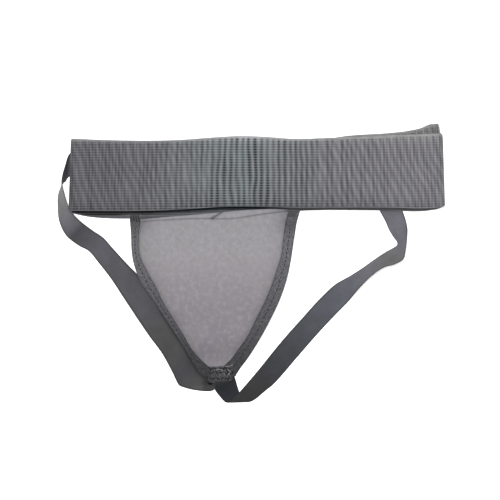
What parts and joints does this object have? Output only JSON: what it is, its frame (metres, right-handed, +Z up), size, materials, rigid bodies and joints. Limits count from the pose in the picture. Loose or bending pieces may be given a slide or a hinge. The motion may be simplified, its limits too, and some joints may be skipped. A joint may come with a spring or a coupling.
{
  "type": "groin protector",
  "caption": "Groin protector lying flat: ribbed elastic waistband loop, bound triangular cup pocket, two webbing leg straps and a removable moulded cup.",
  "frame": {"origin": "middle of the outline on the table that the object lies on", "axes": "+X along the waistband, +Y from the pouch's tip to the waistband, +Z up from the table, towards the side worn against the body"},
  "size_m": [0.4022, 0.2898, 0.03],
  "materials": {
    "waistband_elastic": "ribbed woven elastic, matte",
    "strap_webbing": "plain woven elastic webbing, matte",
    "binding_elastic": "folded elastic binding, matte",
    "lining_fabric": "soft knitted lining, matte",
    "outer_panel_fabric": "foam-backed knit, matte",
    "thread": "polyester sewing thread",
    "cup_plastic": "moulded polypropylene, fine matt grain",
    "cup_rim_rubber": "soft overmoulded edge"
  },
  "bodies": {
    "supporter": {"waistband": "waistband_elastic", "waistband_join_stitching": "thread", "pouch_outer_panel": "outer_panel_fabric", "pouch_lining": "lining_fabric", "pocket_mouth_hem": "lining_fabric", "left_binding": "binding_elastic", "right_binding": "binding_elastic", "left_binding_stitching": "thread", "right_binding_stitching": "thread", "left_binding_bar_tack": "thread", "right_binding_bar_tack": "thread", "left_leg_strap": "strap_webbing", "right_leg_strap": "strap_webbing", "left_strap_box_seam": "thread", "right_strap_box_seam": "thread", "pouch_seam_stitching": "thread", "tip_patch": "binding_elastic", "tip_bar_tack": "thread"},
    "cup": {"cup_shell": "cup_plastic", "cup_rim": "cup_rim_rubber"}
  },
  "joints": [
    {"name": "cup_slide", "type": "slide", "parent": "supporter", "child": "cup", "axis": [0, 1, 0], "range_m": [0, 0.215]}
  ]
}
